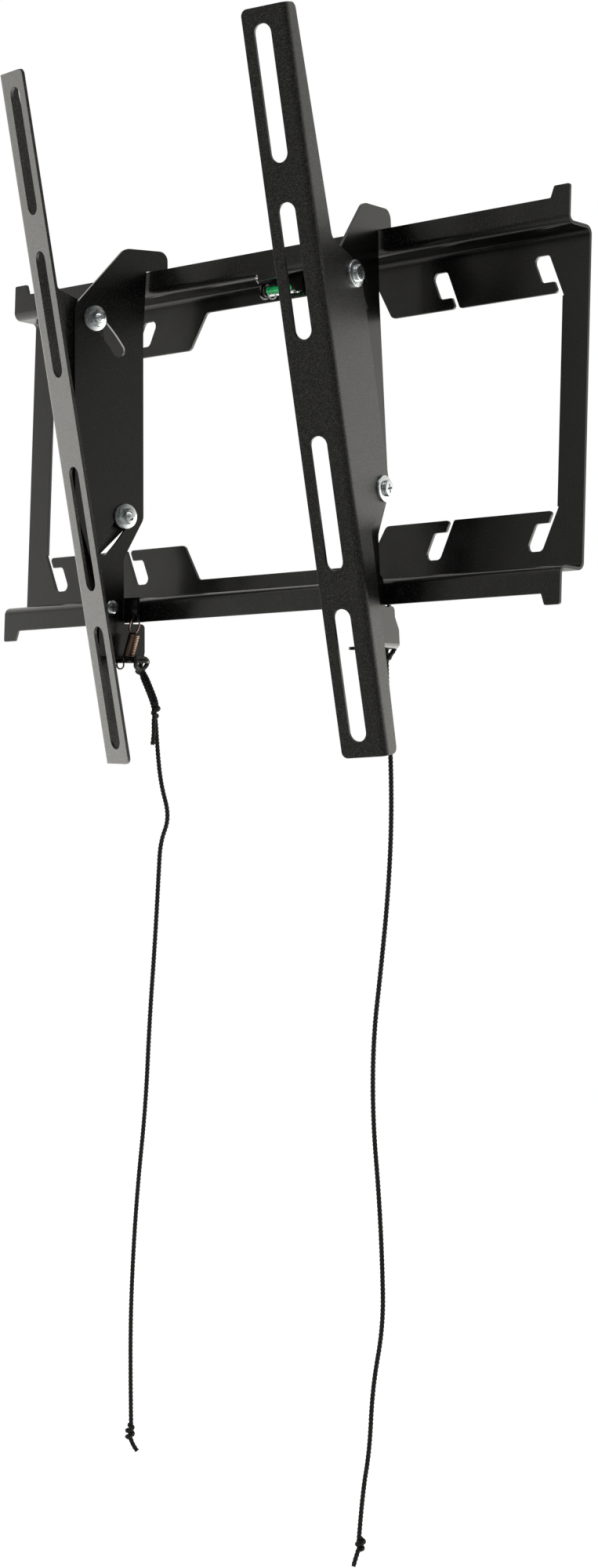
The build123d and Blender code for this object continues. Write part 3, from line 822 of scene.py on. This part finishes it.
# Spirit level: the window narrows towards the flange, a flat lip hangs over it and a dark holder closes it
window = dict(
    half=0.0250, near=0.0004, top=0.0925, front=-0.0155, back=-0.0044, frontMove=0.0114, backMove=0.0022,
)
lipSize = dict(half=0.0084, front=-0.02102, back=-0.0190, low=0.0934, high=0.1010)
holderSize = dict(
    edge=0.0002, edgeSteps=2, sharp=45, crease=35,
    plate=dict(half=0.0247, front=-0.0018, back=-0.0001, low=0.0872, high=0.0974, round=0.0048, steps=8),
    roof=dict(
        front=0.0956, back=0.0974,
        outline=[
            (-0.0247, 0.0001), (-0.0246, 0.0030), (-0.0229, 0.0050), (-0.0137, 0.0166),
            (0.0137, 0.0166), (0.0229, 0.0050), (0.0246, 0.0030), (0.0247, 0.0001),
        ],
    ),
    # A black wedge stands in front of the vial's right end and hides it
    blackWedge=dict(
        front=-0.0134, back=-0.0122,
        outline=[(0.0096, 0.0955), (0.0109, 0.0906), (0.0173, 0.0851), (0.0218, 0.0850), (0.0216, 0.0955)],
    ),
)
# The foot is a painted highlight: a thin frosted white rod drawn as the bright line under the vial; the ring
# sits beside it
vialHighlightAndRing = dict(
    crease=60,
    foot=dict(start=-0.0062, end=0.0128, depth=-0.0106, height=0.0866, radius=0.00038, sides=24),
    ring=dict(
        centre=(-0.0062, -0.0100, 0.0858), radius=0.0022, thick=0.00038, turned=(1.25, 0.20, 0.60),
        around=48, sides=12,
    ),
)


def narrowed(piece):
    bands = (
        (-math.inf, window["front"], window["frontMove"]),
        (window["front"], window["back"], window["backMove"]),
    )

    def onEdge(spot, way):
        return abs(spot.x - way * window["half"]) < window["near"] and spot.z > window["top"]

    for way in (-1, 1):
        for front, back, move in bands:
            choose(piece, lambda spot: onEdge(spot, way) and front < spot.y < back)
            bpy.ops.transform.translate(value=(-way * move, 0, 0))


def slab(name, size, outline):
    piece = drawProfile(name, outline)
    bpy.ops.mesh.select_all(action="SELECT")
    bpy.ops.mesh.edge_face_add()
    depth = size["back"] - size["front"]
    bpy.ops.mesh.extrude_region_move(TRANSFORM_OT_translate={"value": (0, depth, 0)})
    bpy.ops.mesh.select_all(action="SELECT")
    bpy.ops.transform.translate(value=(0, size["front"], 0))
    return mended(piece)


def oblong(size):
    half, low, high = size["half"], size["low"], size["high"]
    return [(-half, low), (half, low), (half, high), (-half, high)]


def roundLowCorners(piece, size):
    editMesh(piece)
    bpy.ops.mesh.select_mode(type="EDGE")
    bpy.ops.mesh.select_all(action="DESELECT")
    objectMode()
    for line in piece.data.edges:
        ends = [piece.data.vertices[number].co for number in line.vertices]
        low = all(end.z < window["top"] for end in ends)
        line.select = low and abs(ends[0].y - ends[1].y) > window["near"]
    bpy.ops.object.mode_set(mode="EDIT")
    bpy.ops.mesh.bevel(offset=size["round"], segments=size["steps"])
    bpy.ops.mesh.select_mode(type="VERT")
    objectMode()


lip = slab("levelLip", lipSize, oblong(lipSize))
plate = slab("levelHolder", holderSize["plate"], oblong(holderSize["plate"]))
roundLowCorners(plate, holderSize["plate"])
roof = slab("levelRoof", holderSize["roof"], holderSize["roof"]["outline"])
settle(roof, turn(90, "X"))
blackWedge = slab("levelBlackWedge", holderSize["blackWedge"], holderSize["blackWedge"]["outline"])
holder = join("levelHolder", plate, roof, blackWedge)
modify(
    holder, "BEVEL", width=holderSize["edge"], segments=holderSize["edgeSteps"], limit_method="ANGLE",
    angle_limit=math.radians(holderSize["sharp"]),
)
for piece in (lip, holder):
    smooth(piece, holderSize["crease"])
    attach(piece, "wall")
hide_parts("level_holder")

# The foot here is the painted highlight rod under the vial
foot, ring = vialHighlightAndRing["foot"], vialHighlightAndRing["ring"]
bpy.ops.mesh.primitive_cylinder_add(
    vertices=foot["sides"], radius=foot["radius"], depth=foot["end"] - foot["start"],
    location=((foot["start"] + foot["end"]) / 2, foot["depth"], foot["height"]), rotation=(0, math.pi / 2, 0),
)
vialHighlightRod = bpy.context.active_object
vialHighlightRod.name = "levelVialHighlightRod"
bpy.ops.mesh.primitive_torus_add(
    major_segments=ring["around"], minor_segments=ring["sides"], major_radius=ring["radius"],
    minor_radius=ring["thick"], location=ring["centre"], rotation=ring["turned"],
)
vialRing = bpy.context.active_object
vialRing.name = "levelVialRing"
for piece in (vialHighlightRod, vialRing):
    settle(piece, piece.matrix_world.copy())
    smooth(piece, vialHighlightAndRing["crease"])
    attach(piece, "wall")
print("level built")

wear(dressed("wall_plate", "wall", narrowed), satinBlack)
wear(lip, satinBlack)
wear(holder, blackPlastic)
wear(vialHighlightRod, highlightAndRingWhite)
wear(vialRing, highlightAndRingWhite)
for side in sides:
    wear(dressed(side + "_hook_plate", side + "_hook"), satinBlack)
    wear(dressed(side + "_arm", side + "_tilt_arm", deepened(side)), texturedBlack)
    wear(dressed(side + "_latch_lever", side + "_latch"), satinBlack)
    wear(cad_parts[side + "_tilt_bushes"], blackPlastic)
    wear(springPieces[side], copperWire)
    for piece in (cordPieces[side], *knotPieces[side]):
        wear(piece, blackCord)
for piece in zincPieces:
    wear(piece, zinc)
# The crosses of painted shade take the dark, dull zinc
for piece in recessShadePieces:
    wear(piece, zincPaintedShade)
wear(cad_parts["level_vial"], clearAcrylic)
wear(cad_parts["level_fluid"], greenFluid)
print("sheet metal dressed")

# Pale floor, kept out of the object's light and reflections
floorSize = dict(drop=0.03, size=8.0, base=0.9, rough=0.9, glow=0.75)
bpy.ops.mesh.primitive_plane_add(size=floorSize["size"], location=(0, 0, cadBox[0].z - floorSize["drop"]))
floor = bpy.context.active_object
floor.name = "floor"
floorPaint = newMaterial("floorPaint", {
    "Base Color": grey(floorSize["base"]), "Roughness": floorSize["rough"],
    "Emission Color": grey(1.0), "Emission Strength": floorSize["glow"],
})[0]
floor.data.materials.append(floorPaint)
floor.visible_diffuse = False
floor.visible_glossy = False

# White to the camera, and to the object a dim room with bright walls to the left and behind
room = dict(
    seen=1.0, dim=0.03, warmth=(1.0, 0.985, 0.93, 1),
    left=dict(glow=3.0, start=0.70, blur=0.12, low=-0.10, height=0.40, most=1.10, fall=0.75),
    back=dict(
        glow=3.2, start=0.15, blur=0.60, side=-0.70, sideBlur=0.50,
        low=-0.10, height=0.35, most=1.15, fall=0.90,
    ),
    front=dict(glow=0.9, start=0.70, blur=0.08, low=0.0, lowBlur=0.30, high=0.25, highBlur=0.30),
    above=dict(glow=2.0, side=0.35, sideBlur=0.40, start=0.25, blur=0.75),
    below=dict(glow=0.9, start=0.05, blur=1.0),
)

world = bpy.data.worlds.new("surround")
world.use_nodes = True
bpy.context.scene.world = world
sky = world.node_tree.nodes["Background"]
aim = world.node_tree.nodes.new("ShaderNodeTexCoord")
seen = world.node_tree.nodes.new("ShaderNodeLightPath")
heading = Shade(world.node_tree, aim.outputs["Generated"])
across, deep, high = heading.axes()


def fading(wall):
    return wall["most"] - high.above(wall["low"], wall["height"]) * wall["fall"]


left, back, front, above, below = (room[key] for key in ("left", "back", "front", "above", "below"))
leftWall = (-across).above(left["start"], left["blur"]) * fading(left) * left["glow"]
backWall = deep.above(back["start"], back["blur"]) * across.above(back["side"], back["sideBlur"])
backWall = backWall * fading(back) * back["glow"]
frontBand = high.above(front["low"], front["lowBlur"]) * (1 - high.above(front["high"], front["highBlur"]))
frontWall = (-deep).above(front["start"], front["blur"]) * frontBand * front["glow"]
ceiling = (-across).above(above["side"], above["sideBlur"]) * high.above(above["start"], above["blur"])
underside = (-high).above(below["start"], below["blur"]) * below["glow"]
ambient = ceiling * above["glow"] + frontWall + underside + leftWall + backWall + room["dim"]
direct = Shade(world.node_tree, seen.outputs["Is Camera Ray"])
heading.feed(sky.inputs["Strength"], direct * room["seen"] + (1 - direct) * ambient)
heading.feed(sky.inputs["Color"], direct.mix(room["warmth"], grey(1.0)))

lamp = dict(place=(0.4, -0.9, 1.7), aim=(0, 0, 0.05), size=1.2, power=8)
bpy.ops.object.light_add(type="AREA", location=lamp["place"])
light = bpy.context.active_object
light.name = "topLamp"
light.data.size = lamp["size"]
light.data.energy = lamp["power"]
light.rotation_euler = (Vector(lamp["aim"]) - Vector(lamp["place"])).to_track_quat("-Z", "Y").to_euler()
bpy.context.scene.view_settings.view_transform = "Standard"
print("stage lit")

# Camera at the photograph's view
view = dict(
    place=(1.341145, -1.358899, -0.303525), yaw=44.225, pitch=2.708, roll=1.615,
    lens=72, sensor=36, farthest=100,
)
yaw, pitch, roll = (math.radians(view[key]) for key in ("yaw", "pitch", "roll"))
forward = Vector((-math.sin(yaw) * math.cos(pitch), math.cos(yaw) * math.cos(pitch), math.sin(pitch)))
sideways = Vector((math.cos(yaw), math.sin(yaw), 0))
rightWay = sideways * math.cos(roll) + sideways.cross(forward) * math.sin(roll)
axes = Matrix((rightWay, rightWay.cross(forward), -forward)).transposed().to_4x4()
camera = bpy.data.objects.new("camera", bpy.data.cameras.new("camera"))
bpy.context.scene.collection.objects.link(camera)
camera.data.lens = view["lens"]
camera.data.sensor_width = view["sensor"]
camera.data.clip_end = view["farthest"]
camera.matrix_world = Matrix.Translation(view["place"]) @ axes
bpy.context.scene.camera = camera
print("camera placed")

bpy.context.view_layer.update()
